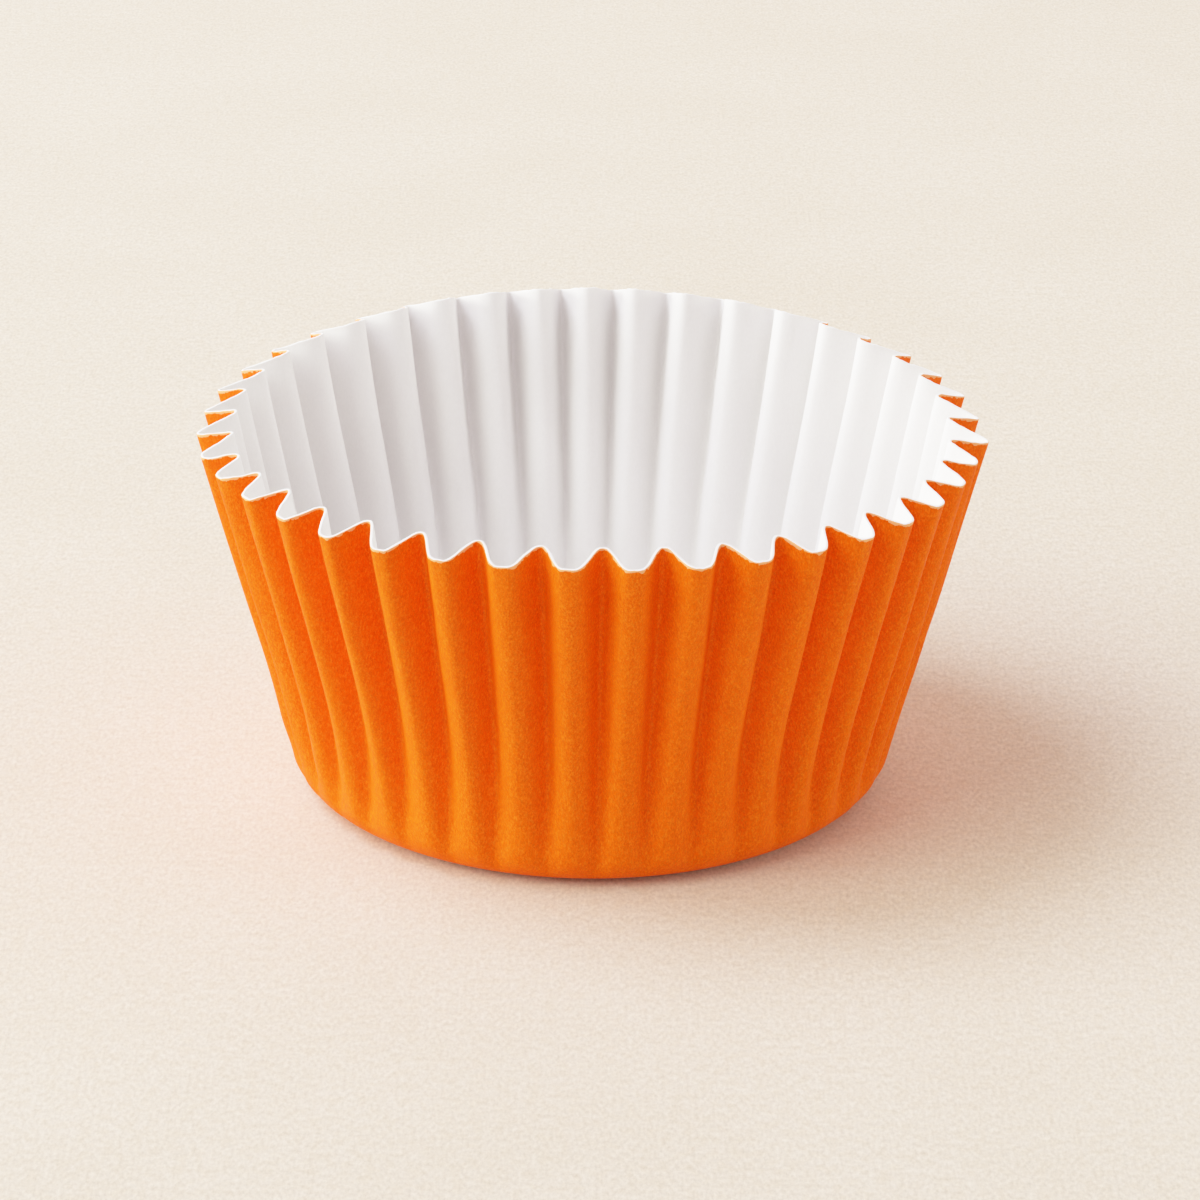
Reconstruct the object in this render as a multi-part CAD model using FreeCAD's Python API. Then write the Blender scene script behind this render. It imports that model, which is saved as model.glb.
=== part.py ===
import FreeCAD, Part
import math
import os

from FreeCAD import Vector

# Paper candy cup: one round disc of paper pressed into a flat-bottomed cup
# with a fluted wall. It is a single folded sheet, so it is a single solid
# with one even paper thickness. Millimetres, +Z up, origin at the middle of
# the underside of the base.

os.makedirs("parts", exist_ok=True)

# ---------------------------------------------------------------- dimensions
TOP_RADIUS = 20.70        # over the outer crests at the rim
CREST_HEIGHT = 19.31      # height of the outer crests at the rim
BASE_RADIUS = 15.87       # where the straight wall line would meet the table
CORNER_RADIUS = 2.13      # outside of the rounded base corner
WALL_BOW = 0.10           # outward bulge of the wall between base and rim
# The wall dips inward low down, by a different amount on each side.
BOW_FRONT, BOW_BACK, BOW_LEFT, BOW_RIGHT = -0.552, -0.70, -0.224, 0.026
PAPER = 0.15              # paper thickness

# The folds were pressed a little differently round the front (-Y) and the
# back (+Y), and go over from one to the other at the two sides.
FLUTE_DEPTH = 1.68        # front: crest to crease at the rim, measured level
FLUTE_DEPTH_BACK = 2.00
CREASE_RISE = 0.47        # front: a crease's edge stands this much higher
CREASE_RISE_BACK = 0.80
FLUTE_GROWTH = 0.31       # the depth grows as (distance from base) ** this
SIDE_FADE = 0.15          # share of the wall over which the sides' flutes fade
TUCK_LEFT = -0.17
FLUTE_EASE = 0.030        # soft start of the flutes, as a share of the wall
FLUTE_START = 30.0        # degrees up the base corner where flutes begin
RIM_SADDLE = -0.235       # the rim waves by this times cos(2 * angle)
RIM_LIFT = 0.05

# Section across one flute, as cosine terms: 0 in the crease, 1 on the crest.
# Round the front the crests are wide and the creases narrow, and the crests
# flatten towards the rim; round the back the crests are the narrow ones.
WAVE_RIM = (-0.5047, -0.0973, 0.0154)
WAVE_WALL = (-0.5047, -0.1101, -0.0242)
WAVE_BACK = (-0.5047, 0.1300, -0.0300)
RIM_ZONE = 0.654          # share up the wall where the crests start to flatten

# The creases, in degrees anticlockwise from +X, are unevenly spaced as they
# are in a pressed paper cup.
CREASE_ANGLES = (
    -161.79, -153.08, -144.30, -134.87, -125.53, -116.08, -106.77, -97.31,
    -87.97, -79.00, -70.07, -61.09, -52.38, -43.81, -35.08, -26.37, -17.42,
    -8.55, 0.81, 10.47, 19.40, 28.30, 37.50, 46.60, 55.70, 64.90, 74.10,
    82.80, 91.00, 99.20, 107.50, 116.20, 125.10, 134.10, 143.30, 152.50,
    161.50, 170.40, 179.40, 188.60)

# Small differences from flute to flute at the rim: how far each crease, and
# the crest that follows it, stands out from the mean radius.
CREASE_OFFSETS = (
    0.16, -0.04, -0.20, -0.10, -0.14, -0.18, -0.19, -0.18, -0.16, -0.01,
    0.13, 0.21, 0.22, 0.16, 0.14, 0.06, 0.00, 0.02, 0.00, -0.00, 0.05,
    0.02, -0.06, -0.03, 0.04, 0.07, -0.02, 0.03, 0.01, -0.05, 0.02, 0.06,
    -0.04, -0.06, 0.03, 0.05, -0.02, 0.01, -0.05, 0.04)
CREST_OFFSETS = (
    -0.07, -0.17, -0.10, 0.16, 0.10, 0.04, -0.02, -0.10, -0.02, 0.14, 0.19,
    0.20, 0.19, 0.15, 0.06, -0.09, -0.18, 0.17, -0.05, 0.01, 0.03, 0.06,
    -0.04, 0.02, -0.06, -0.01, 0.05, -0.03, 0.04, 0.01, -0.02, 0.05, -0.05,
    0.02, 0.04, -0.03, 0.01, -0.06, 0.02, 0.03)

# How far each crest stands to one side of the middle of its flute, in shares
# of the flute.
CREST_SHIFTS = (
    -0.078, 0.058, 0.103, 0.131, 0.109, 0.065, 0.007, -0.017, -0.046,
    -0.025, -0.042, -0.057, -0.044, -0.056, -0.042, -0.002, 0.015, 0.002,
    -0.001, 0.000, 0.000, 0.000, 0.000, 0.000, 0.000, 0.000, 0.000, 0.000,
    0.000, 0.000, 0.000, 0.000, 0.000, 0.000, 0.000, 0.000, 0.000, 0.000,
    0.000, 0.000)

FLUTES = len(CREASE_ANGLES)
COLUMNS_PER_FLUTE = 20    # section points per flute, closest where it bends most
STRIPS_PER_FLUTE = 10

# -------------------------------------------------------------- crest profile
lean = math.atan2(CREST_HEIGHT, TOP_RADIUS - BASE_RADIUS)
tangent_length = CORNER_RADIUS * math.tan(lean / 2)
flat_radius = BASE_RADIUS - tangent_length
corner_arc = CORNER_RADIUS * lean
arc_r = flat_radius + CORNER_RADIUS * math.sin(lean)
arc_z = CORNER_RADIUS * (1 - math.cos(lean))
wall_length = math.hypot(TOP_RADIUS - arc_r, CREST_HEIGHT - arc_z)
profile_length = corner_arc + wall_length
flute_from = CORNER_RADIUS * math.radians(FLUTE_START)


def crest_profile(s):
    """Radius and height of the crest line, s along it from the flat base."""
    if s <= 0:
        return flat_radius + s, 0.0
    if s <= corner_arc:
        a = s / CORNER_RADIUS
        return (flat_radius + CORNER_RADIUS * math.sin(a),
                CORNER_RADIUS * (1 - math.cos(a)))
    t = (s - corner_arc) / wall_length
    bulge = WALL_BOW * math.sin(math.pi * min(t, 1.0)) ** 2
    return (arc_r + t * (TOP_RADIUS - arc_r) + bulge * math.sin(lean),
            arc_z + t * (CREST_HEIGHT - arc_z) - bulge * math.cos(lean))


# ------------------------------------------------- periodic splines by hand
def cyclic_poles(values):
    """Poles of the uniform periodic cubic through the values."""
    n = len(values)
    poles = list(values)
    # Gauss-Seidel on (1, 4, 1) / 6, which converges very fast
    for _ in range(60):
        for i in range(n):
            poles[i] = (6 * values[i] - poles[i - 1]
                        - poles[(i + 1) % n]) / 4.0
    return poles


def cyclic_value(poles, u):
    n = len(poles)
    k = int(math.floor(u))
    t = u - k
    b = ((1 - t) ** 3 / 6, (3 * t ** 3 - 6 * t * t + 4) / 6,
         (-3 * t ** 3 + 3 * t * t + 3 * t + 1) / 6, t ** 3 / 6)
    return sum(b[j] * poles[(k + j - 1) % n] for j in range(4))


uneven = [CREASE_ANGLES[k] - 360.0 * k / FLUTES for k in range(FLUTES)]
angle_poles = cyclic_poles(uneven)
crease_poles = cyclic_poles(list(CREASE_OFFSETS))
crest_poles = cyclic_poles(list(CREST_OFFSETS))
shift_poles = cyclic_poles(list(CREST_SHIFTS))


def smooth(t):
    t = min(max(t, 0.0), 1.0)
    return t * t * (3 - 2 * t)


def back_share(u):
    """0 round the front of the cup, 1 round the back, even at the sides."""
    theta = 2 * math.pi * u / FLUTES + math.radians(CREASE_ANGLES[0])
    return 0.5 + 0.5 * math.tanh(3.0 * math.sin(theta)) / math.tanh(3.0)


def shape(u, c):
    """0 in a crease, 1 on a crest, from cosine terms."""
    full = sum(c[k] * math.cos(2 * math.pi * (k + 1) * u) for k in range(3))
    low = sum(c)
    high = sum(c[k] * (-1) ** (k + 1) for k in range(3))
    return (full - low) / (high - low)


def wave(u, up, back):
    """The section at a share up of the wall, front and back mixed."""
    k = smooth((up - RIM_ZONE) / (1 - RIM_ZONE))
    front = shape(u, WAVE_WALL) * (1 - k) + shape(u, WAVE_RIM) * k
    k = 0.4 + 0.6 * smooth(up / 0.4)
    rear = ((0.5 - 0.5 * math.cos(2 * math.pi * u)) * (1 - k)
            + shape(u, WAVE_BACK) * k)
    return front * (1 - back) + rear * back


def growth(s, theta):
    """Flute depth at s as a share of the depth at the rim; it fades sooner
    above the base corner at the two sides than at the front and the back."""
    t = (s - flute_from) / (profile_length - flute_from)
    if t <= 0:
        return 0.0
    e, p = FLUTE_EASE, FLUTE_GROWTH
    low = e ** p
    g = (((t * t + e * e) ** (p / 2) - low)
         / ((1 + e * e) ** (p / 2) - low))
    return g * (1 - math.cos(theta) ** 2 * (1 - smooth(t / SIDE_FADE)))


def tuck(theta, s):
    """On the left the base corner is rounder, so it is drawn in there."""
    t = (s / corner_arc - 0.3) / 1.6
    d = (math.degrees(theta) + 175 + 180) % 360 - 180
    if not 0 < t < 1 or abs(d) > 50:
        return 0.0
    return (TUCK_LEFT * math.cos(math.radians(90 * d / 50)) ** 2
            * math.sin(math.pi * t) ** 2)


def bow(theta, up):
    """Inward dip of the wall at an angle and a share up of the wall."""
    side = BOW_RIGHT if math.cos(theta) > 0 else BOW_LEFT
    m = smooth((math.sin(theta) - 0.05) / 0.8)
    if math.sin(theta) <= 0:
        amount = BOW_FRONT + (side - BOW_FRONT) * math.cos(theta) ** 2
    else:
        amount = side * (1 - m) + BOW_BACK * m
    return amount * math.sin(math.pi * up ** (0.7 - 0.1 * m)) ** 2


def into_paper(u, s):
    """How far into the paper the drawn surface lies: on the outer face round
    the front and on the inner face round the back, so that each keeps the
    narrow side of its folds."""
    return PAPER * back_share(u) * smooth((s - corner_arc) / wall_length / 0.3)


def drawn_point(u, s):
    """Point of the drawn surface: u counts flutes, s runs up the wall."""
    r, z = crest_profile(s)
    back = back_share(u)
    depth = FLUTE_DEPTH + (FLUTE_DEPTH_BACK - FLUTE_DEPTH) * back
    rise = CREASE_RISE + (CREASE_RISE_BACK - CREASE_RISE) * back
    up = max(0.0, (s - corner_arc) / wall_length)
    leaned = (u - cyclic_value(shift_poles, u - 0.5)
              * math.sin(math.pi * u) ** 2)
    w = wave(leaned, min(up, 1.0), back)
    theta = math.radians(cyclic_value(angle_poles, u) + 360.0 * u / FLUTES)
    g = growth(s, theta)
    r -= depth * g * (1 - w) + into_paper(u, s)
    r += g * up * (cyclic_value(crease_poles, u) * (1 - w)
                   + cyclic_value(crest_poles, u - 0.5) * w)
    r += bow(theta, min(up, 1.0)) + tuck(theta, s)
    z += rise * g * (1 - w) + RIM_LIFT * up
    z += RIM_SADDLE * math.cos(2 * theta) * up * up
    return Vector(r * math.cos(theta), r * math.sin(theta), z)


def normal(u, s):
    """Unit normal of the drawn surface, away from the middle of the cup."""
    h = 1e-3
    du = drawn_point(u + h, s) - drawn_point(u - h, s)
    ds = drawn_point(u, s + h) - drawn_point(u, s - h)
    n = du.cross(ds)
    n.normalize()
    return n


def outer_point(u, s):
    p = drawn_point(u, s) + normal(u, s) * into_paper(u, s)
    if s <= 0:
        p.z = 0.0
    return p


def inner_point(u, s):
    """The same point on the other side of the paper."""
    p = drawn_point(u, s) + normal(u, s) * (into_paper(u, s) - PAPER)
    if s <= 0:
        p.z = PAPER
    return p


# ------------------------------------------------------------- spline faces
def column_places(back):
    """Where the columns stand across a flute: the sharper the bend of the
    paper at the rim, the closer together they are."""
    depth = FLUTE_DEPTH + (FLUTE_DEPTH_BACK - FLUTE_DEPTH) * back
    pitch = 2 * math.pi * (TOP_RADIUS - depth / 2) / FLUTES
    steps = 400
    density = [0.0] * steps
    for up in (0.6, 1.0):
        for i in range(steps):
            u = (i + 0.5) / steps
            e = 1e-3
            y0, y1, y2 = (depth * wave(u + d, up, back) for d in (-e, 0.0, e))
            d1 = (y2 - y0) / (2 * e) / pitch
            d2 = (y2 - 2 * y1 + y0) / (e * pitch) ** 2
            length = math.hypot(1.0, d1)
            bend = d2 / length ** 3
            far_side = 1.0 + abs(bend) * PAPER
            density[i] = max(density[i], math.sqrt(abs(bend) * far_side)
                             * length * pitch + 0.9 * length)
    for _ in range(40):
        density = [(density[i - 1] + 2 * density[i]
                    + density[(i + 1) % steps]) / 4 for i in range(steps)]
    total = sum(density)
    places, so_far, k = [], 0.0, 0
    for i in range(steps):
        while (k < COLUMNS_PER_FLUTE
               and k * total / COLUMNS_PER_FLUTE <= so_far + density[i]):
            part = (k * total / COLUMNS_PER_FLUTE - so_far) / density[i]
            places.append((i + part) / steps)
            k += 1
        so_far += density[i]
    return places


front_places, back_places = column_places(0.0), column_places(1.0)


def column(i):
    """Flute count u of column i."""
    flute, k = divmod(i, COLUMNS_PER_FLUTE)
    back = back_share(flute + 0.5)
    return flute + front_places[k] * (1 - back) + back_places[k] * back


rows = [math.radians(a) * CORNER_RADIUS for a in (0, 15, 30, 42, 54, 66)]
rows += [corner_arc + d for d in (0.0, 0.9, 2.2, 4.2, 7.4, 11.2, 15.2,
                                  wall_length)]
ROWS = len(rows)
knots_v = [r / profile_length for r in rows]


def basis(k, p, t, full):
    """Cox-de Boor basis function over the full knot vector."""
    if p == 0:
        if full[k] <= t < full[k + 1]:
            return 1.0
        if t >= full[-1] and full[k] < full[k + 1] == full[-1]:
            return 1.0
        return 0.0
    a = b = 0.0
    if full[k + p] > full[k]:
        a = (t - full[k]) / (full[k + p] - full[k]) * basis(k, p - 1, t, full)
    if full[k + p + 1] > full[k + 1]:
        b = ((full[k + p + 1] - t) / (full[k + p + 1] - full[k + 1])
             * basis(k + 1, p - 1, t, full))
    return a + b


full_knots = [knots_v[0]] * 3 + knots_v + [knots_v[-1]] * 3
POLES_V = ROWS + 2


def invert(m):
    n = len(m)
    a = [list(m[i]) + [1.0 if i == j else 0.0 for j in range(n)]
         for i in range(n)]
    for c in range(n):
        p = max(range(c, n), key=lambda r: abs(a[r][c]))
        a[c], a[p] = a[p], a[c]
        d = a[c][c]
        a[c] = [x / d for x in a[c]]
        for r in range(n):
            if r != c and a[r][c] != 0.0:
                f = a[r][c]
                a[r] = [x - f * y for x, y in zip(a[r], a[c])]
    return [row[n:] for row in a]


# Interpolation at every row, with the slope set at the two ends.
h0 = knots_v[1] - knots_v[0]
h1 = knots_v[-1] - knots_v[-2]
matrix = []
for t in knots_v:
    matrix.append([basis(k, 3, t, full_knots) for k in range(POLES_V)])
start = [0.0] * POLES_V
start[0], start[1] = -3 / h0, 3 / h0
end = [0.0] * POLES_V
end[-2], end[-1] = -3 / h1, 3 / h1
matrix.append(start)
matrix.append(end)
inverse = invert(matrix)


def spline_surface(point):
    """Surface of the fluted wall and base corner through point(u, s)."""
    count = FLUTES * COLUMNS_PER_FLUTE
    columns = []
    for i in range(count):
        u = column(i)
        pts = [point(u, s) for s in rows]
        e = 1e-3
        d0 = (pts[0] - point(u, -e)) / e * profile_length
        d0.z = 0.0
        d1 = (pts[-1] - point(u, rows[-1] - e)) / e * profile_length
        rhs = pts + [d0, d1]
        line = []
        for k in range(POLES_V):
            v = Vector(0, 0, 0)
            for j in range(POLES_V):
                v += rhs[j] * inverse[k][j]
            line.append(v)
        columns.append(line)
    poles = [[None] * POLES_V for _ in range(count)]
    for k in range(POLES_V):
        xs = cyclic_poles([c[k].x for c in columns])
        ys = cyclic_poles([c[k].y for c in columns])
        zs = cyclic_poles([c[k].z for c in columns])
        for i in range(count):
            poles[i][k] = Vector(xs[i], ys[i], zs[i])
    surface = Part.BSplineSurface()
    surface.buildFromPolesMultsKnots(
        poles,
        [1] * (count + 1), [4] + [1] * (ROWS - 2) + [4],
        [i / COLUMNS_PER_FLUTE for i in range(count + 1)], knots_v,
        True, False, 3, 3)
    return surface


def strips(surface):
    """The wall cut along the flutes into narrow faces, with their top and
    bottom edges."""
    faces, low, high = [], [], []
    u0, u1, v0, v1 = surface.bounds()
    count = FLUTES * STRIPS_PER_FLUTE
    for i in range(count):
        piece = surface.copy()
        piece.segment(u0 + (u1 - u0) * i / count,
                      u0 + (u1 - u0) * (i + 1) / count, v0, v1)
        face = piece.toShape()
        by_height = sorted(face.Edges, key=lambda e: e.CenterOfMass.z)
        faces.append(face)
        low.append(by_height[0])
        high.append(by_height[-1])
    return faces, low, high


outer_wall, outer_low, outer_high = strips(spline_surface(outer_point))
inner_wall, inner_low, inner_high = strips(spline_surface(inner_point))

underside = Part.Face(Part.Wire(outer_low))
floor = Part.Face(Part.Wire(inner_low))
cut_edge = [Part.makeRuledSurface(a, b, 1)
            for a, b in zip(outer_high, inner_high)]

sheet = Part.makeCompound(outer_wall + inner_wall + cut_edge
                          + [underside, floor])
sheet.sewShape()
paper_cup = Part.makeSolid(sheet.Shells[0])
if paper_cup.Volume < 0:
    paper_cup.reverse()

box = paper_cup.BoundBox
print("paper_cup valid", paper_cup.isValid(), "closed",
      paper_cup.Shells[0].isClosed(), "solids", len(paper_cup.Solids),
      "faces", len(paper_cup.Faces))
print("volume mm3 %.1f" % paper_cup.Volume,
      "area/2*paper %.1f" % (paper_cup.Area / 2 * PAPER))
print("box x %.2f %.2f y %.2f %.2f z %.2f %.2f" % (
    box.XMin, box.XMax, box.YMin, box.YMax, box.ZMin, box.ZMax))
print("flat base radius %.2f, wall %.2f from base corner to rim" % (
    flat_radius, profile_length))

paper_cup.exportStep("parts/paper_cup.step")
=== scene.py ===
import math

import bpy
import numpy as np
from mathutils import Matrix, Vector


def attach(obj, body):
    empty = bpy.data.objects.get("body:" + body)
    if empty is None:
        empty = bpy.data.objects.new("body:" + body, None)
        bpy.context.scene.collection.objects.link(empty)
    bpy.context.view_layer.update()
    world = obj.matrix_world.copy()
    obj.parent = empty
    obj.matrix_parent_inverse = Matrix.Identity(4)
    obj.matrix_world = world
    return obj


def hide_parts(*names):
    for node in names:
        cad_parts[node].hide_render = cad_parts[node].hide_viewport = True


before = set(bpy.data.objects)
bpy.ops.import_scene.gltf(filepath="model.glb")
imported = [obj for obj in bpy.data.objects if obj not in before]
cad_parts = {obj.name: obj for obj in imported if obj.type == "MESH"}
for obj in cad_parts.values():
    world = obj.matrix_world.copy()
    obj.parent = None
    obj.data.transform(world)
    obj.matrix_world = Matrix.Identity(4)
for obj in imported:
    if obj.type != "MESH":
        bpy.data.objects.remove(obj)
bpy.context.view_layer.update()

# ------------------------------------------------------------------ the cup
# The folded sheet is built again here, finer than the frame's mesh and with
# the small unevenness of real paper. All lengths in millimetres until the
# mesh is made.
MM = 0.001
TOP_RADIUS = 20.70
CREST_HEIGHT = 19.31
BASE_RADIUS = 15.87
CORNER_RADIUS = 2.13
WALL_BOW = 0.10
# how far the wall dips inward low down, round the cup
BOW_FRONT, BOW_BACK, BOW_LEFT, BOW_RIGHT = -0.552, -0.70, -0.224, 0.026
PAPER = 0.15
FLUTE_DEPTH = 1.68               # round the front
FLUTE_DEPTH_BACK = 2.00
CREASE_RISE = 0.47
CREASE_RISE_BACK = 0.80
FLUTE_GROWTH = 0.31
SIDE_FADE = 0.15
TUCK_LEFT = -0.17
FLUTE_EASE = 0.030
FLUTE_START = 30.0
RIM_SADDLE = -0.235
RIM_LIFT = 0.05
WAVE_RIM = (-0.5047, -0.0973, 0.0154)       # front: wide flat crests
WAVE_WALL = (-0.5047, -0.1101, -0.0242)     # front, lower: rounder crests
WAVE_BACK = (-0.5047, 0.1300, -0.0300)      # narrow crests, wide creases
CREASE_ANGLES = (
    -161.79, -153.08, -144.30, -134.87, -125.53, -116.08, -106.77, -97.31,
    -87.97, -79.00, -70.07, -61.09, -52.38, -43.81, -35.08, -26.37, -17.42,
    -8.55, 0.81, 10.47, 19.40, 28.30, 37.50, 46.60, 55.70, 64.90, 74.10,
    82.80, 91.00, 99.20, 107.50, 116.20, 125.10, 134.10, 143.30, 152.50,
    161.50, 170.40, 179.40, 188.60)
CREASE_OFFSETS = (
    0.16, -0.04, -0.20, -0.10, -0.14, -0.18, -0.19, -0.18, -0.16, -0.01,
    0.13, 0.21, 0.22, 0.16, 0.14, 0.06, 0.00, 0.02, 0.00, -0.00, 0.05,
    0.02, -0.06, -0.03, 0.04, 0.07, -0.02, 0.03, 0.01, -0.05, 0.02, 0.06,
    -0.04, -0.06, 0.03, 0.05, -0.02, 0.01, -0.05, 0.04)
CREST_OFFSETS = (
    -0.07, -0.17, -0.10, 0.16, 0.10, 0.04, -0.02, -0.10, -0.02, 0.14, 0.19,
    0.20, 0.19, 0.15, 0.06, -0.09, -0.18, 0.17, -0.05, 0.01, 0.03, 0.06,
    -0.04, 0.02, -0.06, -0.01, 0.05, -0.03, 0.04, 0.01, -0.02, 0.05, -0.05,
    0.02, 0.04, -0.03, 0.01, -0.06, 0.02, 0.03)
CREST_SHIFTS = (
    -0.078, 0.058, 0.103, 0.131, 0.109, 0.065, 0.007, -0.017, -0.046,
    -0.025, -0.042, -0.057, -0.044, -0.056, -0.042, -0.002, 0.015, 0.002,
    -0.001, 0.000, 0.000, 0.000, 0.000, 0.000, 0.000, 0.000, 0.000, 0.000,
    0.000, 0.000, 0.000, 0.000, 0.000, 0.000, 0.000, 0.000, 0.000, 0.000,
    0.000, 0.000)
FLUTES = len(CREASE_ANGLES)
COLUMNS = 24                     # columns per flute

lean = math.atan2(CREST_HEIGHT, TOP_RADIUS - BASE_RADIUS)
flat_radius = BASE_RADIUS - CORNER_RADIUS * math.tan(lean / 2)
corner_arc = CORNER_RADIUS * lean
arc_r = flat_radius + CORNER_RADIUS * math.sin(lean)
arc_z = CORNER_RADIUS * (1 - math.cos(lean))
wall_length = math.hypot(TOP_RADIUS - arc_r, CREST_HEIGHT - arc_z)
profile_length = corner_arc + wall_length
flute_from = CORNER_RADIUS * math.radians(FLUTE_START)


def crest_profile(s):
    a = np.clip(s, 0, corner_arc) / CORNER_RADIUS
    t = (s - corner_arc) / wall_length
    on_wall = s > corner_arc
    bulge = WALL_BOW * np.sin(np.pi * np.clip(t, 0, 1)) ** 2
    r = np.where(on_wall, arc_r + t * (TOP_RADIUS - arc_r)
                 + bulge * math.sin(lean),
                 flat_radius + CORNER_RADIUS * np.sin(a) + np.minimum(s, 0))
    z = np.where(on_wall, arc_z + t * (CREST_HEIGHT - arc_z)
                 - bulge * math.cos(lean),
                 CORNER_RADIUS * (1 - np.cos(a)))
    return r, z


def cyclic_poles(values):
    n = len(values)
    m = np.zeros((n, n))
    for i in range(n):
        m[i, i - 1] += 1 / 6
        m[i, i] += 4 / 6
        m[i, (i + 1) % n] += 1 / 6
    return np.linalg.solve(m, np.asarray(values, float))


def cyclic_value(poles, u):
    n = len(poles)
    k = np.floor(u).astype(int)
    t = u - k
    b = ((1 - t) ** 3 / 6, (3 * t ** 3 - 6 * t * t + 4) / 6,
         (-3 * t ** 3 + 3 * t * t + 3 * t + 1) / 6, t ** 3 / 6)
    return sum(b[j] * poles[(k + j - 1) % n] for j in range(4))


angle_poles = cyclic_poles([CREASE_ANGLES[k] - 360.0 * k / FLUTES
                            for k in range(FLUTES)])
crease_poles = cyclic_poles(CREASE_OFFSETS)
crest_poles = cyclic_poles(CREST_OFFSETS)
shift_poles = cyclic_poles(CREST_SHIFTS)


def smooth(t):
    t = np.clip(t, 0, 1)
    return t * t * (3 - 2 * t)


def back_share(theta):
    """0 round the front of the cup, 1 round the back, even at the sides."""
    return 0.5 + 0.5 * np.tanh(3.0 * np.sin(theta)) / math.tanh(3.0)


def shape(u, c):
    """0 in a crease, 1 on a crest, from cosine terms."""
    full = sum(ck * np.cos(2 * np.pi * (k + 1) * u) for k, ck in enumerate(c))
    low = sum(c)
    high = sum(ck * (-1) ** (k + 1) for k, ck in enumerate(c))
    return (full - low) / (high - low)


def wave(u, up, back):
    """The section at a share up of the wall, front and back mixed."""
    k = smooth((up - 0.654) / 0.346)
    front = shape(u, WAVE_WALL) * (1 - k) + shape(u, WAVE_RIM) * k
    k = 0.4 + 0.6 * smooth(up / 0.4)
    rear = ((0.5 - 0.5 * np.cos(2 * np.pi * u)) * (1 - k)
            + shape(u, WAVE_BACK) * k)
    return front * (1 - back) + rear * back


def growth(s, theta):
    """Flute depth as a share of the rim's; it fades sooner at the sides."""
    t = np.maximum((s - flute_from) / (profile_length - flute_from), 0)
    e, p = FLUTE_EASE, FLUTE_GROWTH
    low = e ** p
    g = ((t * t + e * e) ** (p / 2) - low) / ((1 + e * e) ** (p / 2) - low)
    return g * (1 - np.cos(theta) ** 2 * (1 - smooth(t / SIDE_FADE)))


def window(theta, centre, half):
    d = np.degrees(theta) - centre
    d = (d + 180) % 360 - 180
    return np.cos(np.radians(90 * np.clip(d / half, -1, 1))) ** 2


def tuck(theta, s):
    """On the left the base corner is rounder, so it is drawn in there."""
    t = np.clip((s / corner_arc - 0.3) / 1.6, 0, 1)
    return TUCK_LEFT * window(theta, -175, 50) * np.sin(np.pi * t) ** 2


def bow(theta, up):
    side = np.where(np.cos(theta) > 0, BOW_RIGHT, BOW_LEFT)
    m = smooth((np.sin(theta) - 0.05) / 0.8)
    front = BOW_FRONT + (side - BOW_FRONT) * np.cos(theta) ** 2
    amount = np.where(np.sin(theta) <= 0, front, side * (1 - m) + BOW_BACK * m)
    return amount * np.sin(np.pi * up ** (0.7 - 0.1 * m)) ** 2


# The flutes wander a little as they go up, and the sheet is not quite flat.
rng = np.random.default_rng(39)
wander_a = cyclic_poles(rng.normal(0, 0.08, FLUTES))
wander_b = cyclic_poles(rng.normal(0, 0.06, FLUTES))
cockle = [(a, n, k, p) for a, n, k, p in zip(
    rng.normal(0, 1, 60) * 0.0016, rng.integers(6, 130, 60),
    rng.uniform(-1.3, 1.3, 60), rng.uniform(0, 6.283, 60))]


def into_paper(u, s):
    """How far into the paper the drawn surface lies: on the outer face round
    the front, on the inner face round the back, so that each keeps the
    narrow side of its folds."""
    up = np.clip((s - corner_arc) / wall_length / 0.3, 0, 1)
    return (PAPER * back_share(2 * np.pi * u / FLUTES
                               + math.radians(CREASE_ANGLES[0]))
            * up * up * (3 - 2 * up))


def drawn_point(u, s):
    """Points of the drawn face: u counts flutes round, s runs up the wall."""
    r, z = crest_profile(s)
    back = back_share(2 * np.pi * u / FLUTES + math.radians(CREASE_ANGLES[0]))
    depth = FLUTE_DEPTH + (FLUTE_DEPTH_BACK - FLUTE_DEPTH) * back
    rise = CREASE_RISE + (CREASE_RISE_BACK - CREASE_RISE) * back
    up = np.maximum(0, (s - corner_arc) / wall_length)
    upc = np.minimum(up, 1)
    # the crests lean to one side or the other of the middle of their flute
    leaned = u - cyclic_value(shift_poles, u - 0.5) * np.sin(np.pi * u) ** 2
    w = wave(leaned, upc, back)
    turn = (cyclic_value(wander_a, u) * np.sin(np.pi * upc)
            + cyclic_value(wander_b, u) * np.sin(2 * np.pi * upc))
    theta = np.radians(cyclic_value(angle_poles, u) + turn
                       + 360.0 * u / FLUTES)
    g = growth(s, theta)
    r = r - depth * g * (1 - w) - into_paper(u, s)
    r = r + g * up * (cyclic_value(crease_poles, u) * (1 - w)
                      + cyclic_value(crest_poles, u - 0.5) * w)
    r = r + bow(theta, upc) + tuck(theta, s)
    z = z + rise * g * (1 - w) + RIM_LIFT * up
    z = z + RIM_SADDLE * np.cos(2 * theta) * up * up
    return np.stack([r * np.cos(theta), r * np.sin(theta), z], -1)


def normals(u, s):
    h = 1e-3
    du = drawn_point(u + h, s) - drawn_point(u - h, s)
    ds = drawn_point(u, s + h) - drawn_point(u, s - h)
    n = np.cross(du, ds)
    return n / np.linalg.norm(n, axis=-1, keepdims=True)


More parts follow.
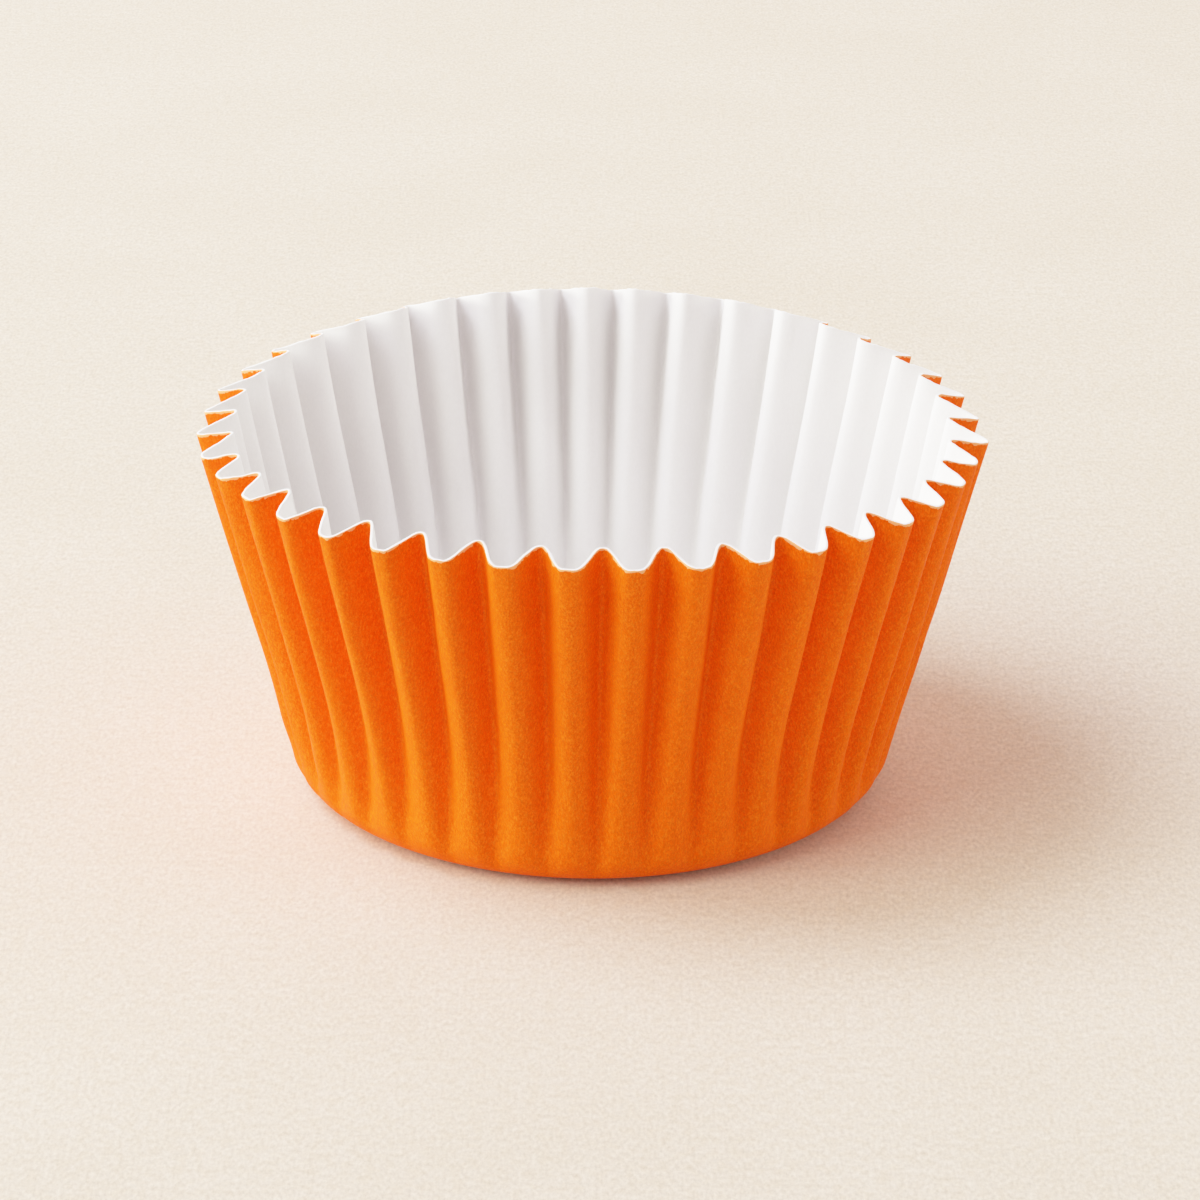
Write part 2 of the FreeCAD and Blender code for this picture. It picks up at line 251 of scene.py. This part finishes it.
def sheet_point(u, s, depth):
    """A point in the paper: depth 0 on the outer face, PAPER on the inner."""
    p = drawn_point(u, s)
    n = normals(u, s)
    up = np.clip((s - corner_arc) / wall_length, 0, 1)
    theta = 2 * np.pi * u / FLUTES
    off = sum(a * np.sin(nn * theta + k * s + ph) for a, nn, k, ph in cockle)
    off = off * np.clip(up * 6, 0, 1) * (0.5 + 0.5 * up)
    return p + n * (off + into_paper(u, s) - depth)[..., None]


def column_places(back):
    """Across a flute the columns are closer where the paper bends more."""
    pitch = 2 * math.pi * (TOP_RADIUS - FLUTE_DEPTH / 2) / FLUTES
    u = (np.arange(400) + 0.5) / 400
    e = 1e-3
    density = np.zeros(400)
    for up in (0.6, 1.0):
        y0, y1, y2 = (FLUTE_DEPTH * wave(u + d, up, back)
                      for d in (-e, 0.0, e))
        d1 = (y2 - y0) / (2 * e) / pitch
        d2 = (y2 - 2 * y1 + y0) / (e * pitch) ** 2
        length = np.hypot(1.0, d1)
        bend = d2 / length ** 3
        density = np.maximum(density, (
            np.sqrt(np.abs(bend) * (1 + np.abs(bend) * PAPER))
            * length * pitch + 1.6 * length))
    for _ in range(60):
        density = (np.roll(density, 1) + 2 * density
                   + np.roll(density, -1)) / 4
    run = np.concatenate([[0], np.cumsum(density)])
    want = np.arange(COLUMNS) * run[-1] / COLUMNS
    return np.interp(want, run, np.linspace(0, 1, 401))


front_places, back_places = column_places(0.0), column_places(1.0)
shares = back_share(2 * np.pi * (np.arange(FLUTES) + 0.5) / FLUTES
                    + math.radians(CREASE_ANGLES[0]))[:, None]
U = (np.arange(FLUTES)[:, None] + front_places[None, :] * (1 - shares)
     + back_places[None, :] * shares).ravel()
N = len(U)

corner_rows = corner_arc * np.linspace(0, 1, 12)[:-1]
t = np.linspace(0, 1, 22)
wall_rows = corner_arc + (wall_length - 1.2) * (0.65 * t ** 1.6 + 0.35 * t)
rim_rows = profile_length - np.array([0.75, 0.45, 0.30, 0.20, 0.13, 0.075])
outer_rows = np.concatenate([corner_rows, wall_rows, rim_rows])
inner_rows = np.concatenate([corner_rows, wall_rows,
                             profile_length - np.array([0.6, 0.25, 0.08])])

# The cut edge: (depth through the paper, how far below the cut).
EDGE = ((0.0, 0.035), (0.008, 0.014), (0.027, 0.0), (0.062, -0.004),
        (0.095, -0.003), (0.127, 0.0), (0.143, 0.012), (0.150, 0.032))
edge_angle = 2 * np.pi * U / FLUTES
edge_jitter = np.zeros(N)
for amp, lo, hi, cnt in ((0.006, 40, 200, 30), (0.0035, 200, 440, 40)):
    for n, p in zip(rng.integers(lo, hi, cnt), rng.uniform(0, 6.283, cnt)):
        edge_jitter += amp * rng.normal() * np.sin(n * edge_angle + p) / 2.2
raggedness = rng.normal(0, 0.007, (len(EDGE), N))
raggedness = (raggedness + np.roll(raggedness, 1, 1)) / 1.5

verts, rings, rim_value = [], [], []


def add_ring(points, value):
    start = sum(len(v) for v in verts)
    verts.append(points)
    rim_value.append(np.broadcast_to(np.asarray(value, float),
                                     (len(points),)))
    rings.append(start + np.arange(len(points)))
    return len(rings) - 1


faces, face_material = [], []
ORANGE, WHITE, EDGE_SLOT = 0, 1, 2


def band(a, b, material, flip=False):
    """Quads between two rings of the same count, or triangles and quads
    where the second has half as many points."""
    ra, rb = rings[a], rings[b]
    if len(ra) == len(rb):
        n = len(ra)
        for i in range(n):
            j = (i + 1) % n
            f = (ra[i], ra[j], rb[j], rb[i])
            faces.append(f[::-1] if flip else f)
            face_material.append(material)
    else:
        n = len(rb)
        for i in range(n):
            j = (i + 1) % n
            a0, a1, a2 = ra[2 * i], ra[2 * i + 1], ra[(2 * i + 2) % len(ra)]
            for f in ((a0, a1, rb[i]), (a1, a2, rb[j]), (a1, rb[j], rb[i])):
                faces.append(f[::-1] if flip else f)
                face_material.append(material)


def disc(first, z, material, flip):
    """The flat floor inward from a ring, halving its points as it goes."""
    base = verts[first]
    a = first
    count = N
    radius = flat_radius
    ang = np.arctan2(base[:, 1], base[:, 0])
    shares = (0.985, 0.955, 0.91, 0.84, 0.74, 0.62, 0.48, 0.34, 0.20, 0.09)
    for k, share in enumerate(shares):
        if count % 2 == 0 and count > 120 and k > 0:
            count //= 2
            ang = ang[::2]
        pts = np.stack([radius * share * np.cos(ang),
                        radius * share * np.sin(ang),
                        np.full(count, z)], -1)
        b = add_ring(pts, 99.0)
        band(b, a, material, not flip) if count == len(rings[a]) else \
            band(a, b, material, flip)
        a = b
    start = sum(len(v) for v in verts)
    verts.append(np.array([[0.0, 0.0, z]]))
    rim_value.append(np.array([99.0]))
    ring = rings[a]
    for i in range(len(ring)):
        j = (i + 1) % len(ring)
        f = (ring[i], ring[j], start)
        faces.append(f[::-1] if flip else f)
        face_material.append(material)


# outer face, from the base corner to the rim
outer_ids = []
for s in outer_rows:
    p = sheet_point(U, np.full(N, s), np.zeros(N))
    if s <= 0:
        p[:, 2] = 0.0
    outer_ids.append(add_ring(p, profile_length - s))
for a, b in zip(outer_ids, outer_ids[1:]):
    band(a, b, ORANGE)

# over the cut edge
edge_ids = []
for k, (depth, below) in enumerate(EDGE):
    cut = profile_length + edge_jitter + raggedness[k] * (0.4 if k in (0, 7)
                                                          else 1.0)
    p = sheet_point(U, cut - below, np.full(N, depth))
    edge_ids.append(add_ring(p, below))
band(outer_ids[-1], edge_ids[0], ORANGE)
for k, (a, b) in enumerate(zip(edge_ids, edge_ids[1:])):
    band(a, b, ORANGE if k < 2 else (WHITE if k == 6 else EDGE_SLOT))

# inner face, from the rim down to the floor
inner_ids = []
for s in inner_rows[::-1]:
    p = sheet_point(U, np.full(N, s), np.full(N, PAPER))
    if s <= 0:
        p[:, 2] = PAPER
    inner_ids.append(add_ring(p, profile_length - s))
band(edge_ids[-1], inner_ids[0], WHITE)
for a, b in zip(inner_ids, inner_ids[1:]):
    band(a, b, WHITE)

disc(inner_ids[-1], PAPER, WHITE, False)
disc(outer_ids[0], 0.0, ORANGE, True)

mesh = bpy.data.meshes.new("folded_paper")
mesh.from_pydata((np.concatenate(verts) * MM).tolist(), [],
                 [tuple(int(i) for i in f) for f in faces])
mesh.update()
mesh.polygons.foreach_set("material_index", face_material)
mesh.polygons.foreach_set("use_smooth", [True] * len(mesh.polygons))
rim = mesh.attributes.new("rim_distance", "FLOAT", "POINT")
rim.data.foreach_set("value", np.concatenate(rim_value))
mesh.validate()
cup = bpy.data.objects.new("folded_paper", mesh)
bpy.context.scene.collection.objects.link(cup)

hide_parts("paper_cup")
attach(cup, "root")


# ---------------------------------------------------------------- materials
def material(name):
    m = bpy.data.materials.new(name)
    m.use_nodes = True
    nt = m.node_tree
    nt.nodes.clear()
    out = nt.nodes.new("ShaderNodeOutputMaterial")
    bsdf = nt.nodes.new("ShaderNodeBsdfPrincipled")
    nt.links.new(bsdf.outputs[0], out.inputs[0])
    return m, nt, bsdf


def noise(nt, scale, stretch=(1, 1, 1), detail=2.0, rough=0.5, shift=0.0,
          distortion=0.0):
    co = nt.nodes.new("ShaderNodeTexCoord")
    mp = nt.nodes.new("ShaderNodeMapping")
    mp.inputs["Scale"].default_value = stretch
    mp.inputs["Location"].default_value = (shift, shift * 0.7, shift * 1.3)
    n = nt.nodes.new("ShaderNodeTexNoise")
    n.inputs["Scale"].default_value = scale
    n.inputs["Detail"].default_value = detail
    n.inputs["Roughness"].default_value = rough
    n.inputs["Distortion"].default_value = distortion
    nt.links.new(co.outputs["Object"], mp.inputs["Vector"])
    nt.links.new(mp.outputs["Vector"], n.inputs["Vector"])
    return n.outputs["Fac"]


def spread(nt, value, lo, hi, to_lo=0.0, to_hi=1.0, smooth=True):
    r = nt.nodes.new("ShaderNodeMapRange")
    r.interpolation_type = "SMOOTHSTEP" if smooth else "LINEAR"
    r.inputs["From Min"].default_value = lo
    r.inputs["From Max"].default_value = hi
    r.inputs["To Min"].default_value = to_lo
    r.inputs["To Max"].default_value = to_hi
    nt.links.new(value, r.inputs["Value"])
    return r.outputs["Result"]


def mix(nt, factor, a, b, kind="MIX"):
    m = nt.nodes.new("ShaderNodeMix")
    m.data_type = "RGBA"
    m.blend_type = kind
    if isinstance(factor, (int, float)):
        m.inputs["Factor"].default_value = factor
    else:
        nt.links.new(factor, m.inputs["Factor"])
    for key, v in (("A", a), ("B", b)):
        sock = [s for s in m.inputs if s.name == key
                and s.type == "RGBA"][0]
        if isinstance(v, tuple):
            sock.default_value = v
        else:
            nt.links.new(v, sock)
    return [s for s in m.outputs if s.type == "RGBA"][0]


def math_node(nt, op, a, b=None):
    m = nt.nodes.new("ShaderNodeMath")
    m.operation = op
    for i, v in enumerate((a, b)):
        if v is None:
            continue
        if isinstance(v, (int, float)):
            m.inputs[i].default_value = v
        else:
            nt.links.new(v, m.inputs[i])
    return m.outputs[0]


def bump(nt, bsdf, height, distance, strength=1.0):
    b = nt.nodes.new("ShaderNodeBump")
    b.inputs["Distance"].default_value = distance
    b.inputs["Strength"].default_value = strength
    nt.links.new(height, b.inputs["Height"])
    nt.links.new(b.outputs["Normal"], bsdf.inputs["Normal"])


# orange outside
orange, nt, bsdf = material("orange_paper")
fibres = noise(nt, 11000, (1, 1, 0.55), 3.0, 0.65, 0.0, 0.9)
fine = noise(nt, 12000, (1, 1, 0.55), 2.0, 0.6, 0.3, 0.5)
cloud = noise(nt, 900, (1, 1, 0.7), 2.0, 0.5, 0.6)
deep = (0.870, 0.090, 0.0002, 1)
plain = (0.900, 0.098, 0.0003, 1)
pale = (0.960, 0.190, 0.0120, 1)
c = mix(nt, spread(nt, cloud, 0.35, 0.65), deep, plain)
flecks = math_node(nt, "MULTIPLY", spread(nt, fibres, 0.44, 0.66), 0.60)
c = mix(nt, flecks, c, pale)
c = mix(nt, 1.0, c, spread(nt, fine, 0.2, 0.8, 0.72, 1.28, False), "MULTIPLY")
c = mix(nt, 1.0, c, spread(nt, fibres, 0.0, 1.0, 0.85, 1.15, False),
        "MULTIPLY")
# painted highlight: a pale ragged band on the orange face just under the cut,
# standing in for the light caught by the rounded edge
attr = nt.nodes.new("ShaderNodeAttribute")
attr.attribute_name = "rim_distance"
edge_noise = noise(nt, 2600, (1, 1, 1), 2.0, 0.6, 1.1)
reach = spread(nt, edge_noise, 0.35, 0.7, 0.03, 0.20, False)
rim_highlight = math_node(nt, "LESS_THAN", attr.outputs["Fac"], reach)
c = mix(nt, math_node(nt, "MULTIPLY", rim_highlight, 0.55), c, (0.98, 0.62, 0.30, 1))
nt.links.new(c, bsdf.inputs["Base Color"])
nt.links.new(spread(nt, fibres, 0.3, 0.7, 0.50, 0.62, False),
             bsdf.inputs["Roughness"])
bsdf.inputs["Specular IOR Level"].default_value = 0.04
height = math_node(nt, "ADD", fibres, math_node(nt, "MULTIPLY", fine, 0.5))
bump(nt, bsdf, height, 0.000035, 0.9)

# white inside
white, nt, bsdf = material("white_paper")
cloud = noise(nt, 300, (1, 1, 0.5), 2.0, 0.5, 2.0)
grain = noise(nt, 9000, (1, 1, 0.5), 3.0, 0.6, 2.3)
c = mix(nt, spread(nt, cloud, 0.3, 0.7), (0.865, 0.845, 0.830, 1),
        (0.890, 0.870, 0.855, 1))
c = mix(nt, 1.0, c, spread(nt, grain, 0.0, 1.0, 0.94, 1.06, False),
        "MULTIPLY")
nt.links.new(c, bsdf.inputs["Base Color"])
nt.links.new(spread(nt, grain, 0.3, 0.7, 0.50, 0.60, False),
             bsdf.inputs["Roughness"])
bsdf.inputs["Specular IOR Level"].default_value = 0.35
bump(nt, bsdf, grain, 0.000010, 0.6)

# white core at the cut
core, nt, bsdf = material("cut_paper")

rough_cut = noise(nt, 9000, (1, 1, 1), 3.0, 0.7, 3.1)
c = mix(nt, spread(nt, rough_cut, 0.4, 0.7), (0.93, 0.92, 0.90, 1),
        (0.98, 0.97, 0.95, 1))
nt.links.new(c, bsdf.inputs["Base Color"])
nt.links.new(spread(nt, rough_cut, 0.3, 0.7, 0.65, 0.8, False),
             bsdf.inputs["Roughness"])
bsdf.inputs["Specular IOR Level"].default_value = 0.2
bump(nt, bsdf, rough_cut, 0.000015, 0.6)

for m in (orange, white, core):
    mesh.materials.append(m)

# ------------------------------------------------------------------- floor
floor_mesh = bpy.data.meshes.new("floor")
reach = 0.87  # the floor stops where the low panels stand
floor_mesh.from_pydata([(reach * math.cos(math.tau * k / 180),
                         reach * math.sin(math.tau * k / 180), 0)
                        for k in range(180)], [], [tuple(range(180))])
floor = bpy.data.objects.new("floor", floor_mesh)
bpy.context.scene.collection.objects.link(floor)
floor.location.z = -0.00020
m, nt, bsdf = material("pale_floor")
blotch = noise(nt, 60, (1, 1, 1), 4.0, 0.6, 5.0)
grain = noise(nt, 1500, (1, 1, 1), 3.0, 0.6, 6.0)
sand = noise(nt, 5200, (1, 0.5, 1), 3.0, 0.65, 7.0)
c = mix(nt, spread(nt, blotch, 0.3, 0.7), (0.691, 0.585, 0.450, 1),
        (0.733, 0.627, 0.492, 1))
c = mix(nt, spread(nt, grain, 0.35, 0.7, 0.0, 0.6), c,
        (0.640, 0.520, 0.370, 1))
c = mix(nt, 1.0, c, spread(nt, sand, 0.2, 0.8, 0.70, 1.24, False),
        "MULTIPLY")
nt.links.new(c, bsdf.inputs["Base Color"])
bsdf.inputs["Roughness"].default_value = 0.8
bsdf.inputs["Specular IOR Level"].default_value = 0.2
bump(nt, bsdf, grain, 0.00006, 0.35)
floor_mesh.materials.append(m)

# ------------------------------------------------------------------- light
world = bpy.data.worlds.new("studio")
bpy.context.scene.world = world
world.use_nodes = True
bg = world.node_tree.nodes["Background"]
bg.inputs["Color"].default_value = (1.0, 0.823, 0.794, 1)
bg.inputs["Strength"].default_value = 0.83


def area_light(name, azimuth, elevation, width, height, power, colour):
    data = bpy.data.lights.new(name, "AREA")
    if height:
        data.shape = "RECTANGLE"
        data.size_y = height
    else:
        data.shape = "DISK"
    data.size = width
    data.energy = power
    data.color = colour
    ob = bpy.data.objects.new(name, data)
    bpy.context.scene.collection.objects.link(ob)
    a, e = math.radians(azimuth), math.radians(elevation)
    d = Vector((math.cos(a) * math.cos(e), math.sin(a) * math.cos(e),
                math.sin(e)))
    ob.location = Vector((0.0, 0.0, 0.010)) + d * 0.9
    ob.rotation_euler = d.to_track_quat("Z", "Y").to_euler()


# a soft disc above on the left, a weaker one nearer the front
area_light("key", 166, 58, 0.55, 0, 12.46, (0.815, 0.843, 1.0))
area_light("front_left", 216, 40, 0.55, 0, 6.5, (0.96, 1.0, 0.92))
# low soft panels, strongest on the left
for azimuth, power in ((180, 14.1), (135, 2.8), (90, 5.1), (0, 5.5)):
    area_light("panel_%d" % azimuth, azimuth, 11, 0.72, 0.34, power,
               (0.99, 1.0, 0.87))

# ------------------------------------------------------------------ camera
R_OUT = 20.7 * MM
DISTANCE = 12.0
ELEVATION = 0.403882570
ROLL = 0.0107310
FOCAL = 4647.62                  # in 1200ths of the frame
AIM = (0.0262318, 0.0, 19.31 / 20.7 - 0.485341)
cam_data = bpy.data.cameras.new("camera")
cam_data.sensor_width = 36.0
cam_data.lens = FOCAL / 1200.0 * 36.0
cam_data.clip_start = 0.01
cam_data.clip_end = 20.0
camera = bpy.data.objects.new("camera", cam_data)
bpy.context.scene.collection.objects.link(camera)
back = Vector((0, -math.cos(ELEVATION), math.sin(ELEVATION)))
centre = (Vector(AIM) + back * DISTANCE) * R_OUT
right = Vector((1, 0, 0))
up = right.cross(-back)
r = math.cos(ROLL) * right + math.sin(ROLL) * up
u = -math.sin(ROLL) * right + math.cos(ROLL) * up
rot = Matrix((r, u, back)).transposed().to_4x4()
camera.matrix_world = Matrix.Translation(centre) @ rot
bpy.context.scene.camera = camera

scene = bpy.context.scene
scene.view_settings.view_transform = "Standard"
scene.view_settings.look = "None"
scene.view_settings.exposure = 0.0
scene.view_settings.gamma = 1.0
# a gentle film shoulder, 1 - exp(-x), so that bright paper never clips
TONE_TOP = 8.0
scene.view_settings.use_curve_mapping = True
tone = scene.view_settings.curve_mapping
tone.black_level = (0.0, 0.0, 0.0)
tone.white_level = (TONE_TOP, TONE_TOP, TONE_TOP)
curve = tone.curves[3]
curve.points[0].location = (0.0, 0.0)
curve.points[-1].location = (1.0, 1.0 - math.exp(-TONE_TOP))
for x in (0.05, 0.1, 0.2, 0.35, 0.5, 0.7, 0.9, 1.15, 1.4, 1.7, 2.0, 2.4, 2.8,
          3.3, 3.9, 4.6, 5.4, 6.4):
    curve.points.new(x / TONE_TOP, 1.0 - math.exp(-x))
tone.update()
